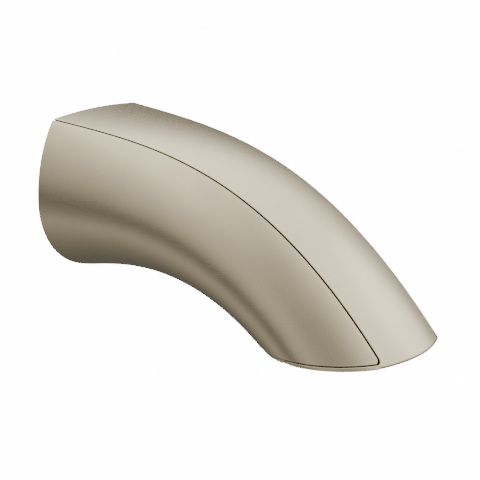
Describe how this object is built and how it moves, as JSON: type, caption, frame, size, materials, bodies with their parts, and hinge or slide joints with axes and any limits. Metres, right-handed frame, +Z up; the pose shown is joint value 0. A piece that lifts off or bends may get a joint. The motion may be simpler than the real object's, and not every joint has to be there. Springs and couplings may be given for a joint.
{
  "type": "wall mounted bath faucet",
  "caption": "Wall mounted bath spout: a curved tapering casing with a crowned top cover and a lip round the outlet, a pull-down diverter ring underneath and the waterway inside.",
  "frame": {"origin": "on the inlet thread axis, in the plane of the finished wall", "axes": "+Y into the wall along the inlet axis, so the spout reaches out along -Y; +Z up; +X to the right seen from the room"},
  "size_m": [0.0878, 0.1825, 0.094],
  "materials": {
    "satin_nickel": "satin brushed nickel, warm",
    "brass": "machined",
    "steel": "machined",
    "rubber": "matte",
    "fibre": "matte",
    "foam": "matte foam",
    "acetal": "smooth"
  },
  "bodies": {
    "casing": {"spout_body": "satin_nickel", "top_cover": "satin_nickel", "wall_gasket": "foam", "cover_screws": "steel", "locating_pins": "steel", "inlet_adapter": "brass", "pipe_washer": "fibre", "adapter_oring_rear": "rubber", "adapter_oring_front": "rubber", "set_screw": "steel", "waterway_socket": "brass", "socket_screws": "steel", "waterway_tube": "brass", "union_nut": "brass", "tube_oring_rear": "rubber", "tube_oring_front": "rubber", "diverter_chamber": "brass", "chamber_screws": "steel", "outlet_gasket": "rubber", "outlet_nut": "satin_nickel", "stem_guide": "acetal", "return_spring": "steel"},
    "diverter": {"diverter_stem": "steel", "valve_disc": "brass", "valve_seal": "rubber", "stem_clip": "steel", "pull_ring": "satin_nickel"}
  },
  "joints": [
    {"name": "diverter_slide", "type": "slide", "parent": "casing", "child": "diverter", "axis": [0, 0, -1], "range_m": [0, 0.0057], "stiffness_N_per_m": 150, "springref_m": -0.01, "deforming": ["return_spring"]}
  ]
}
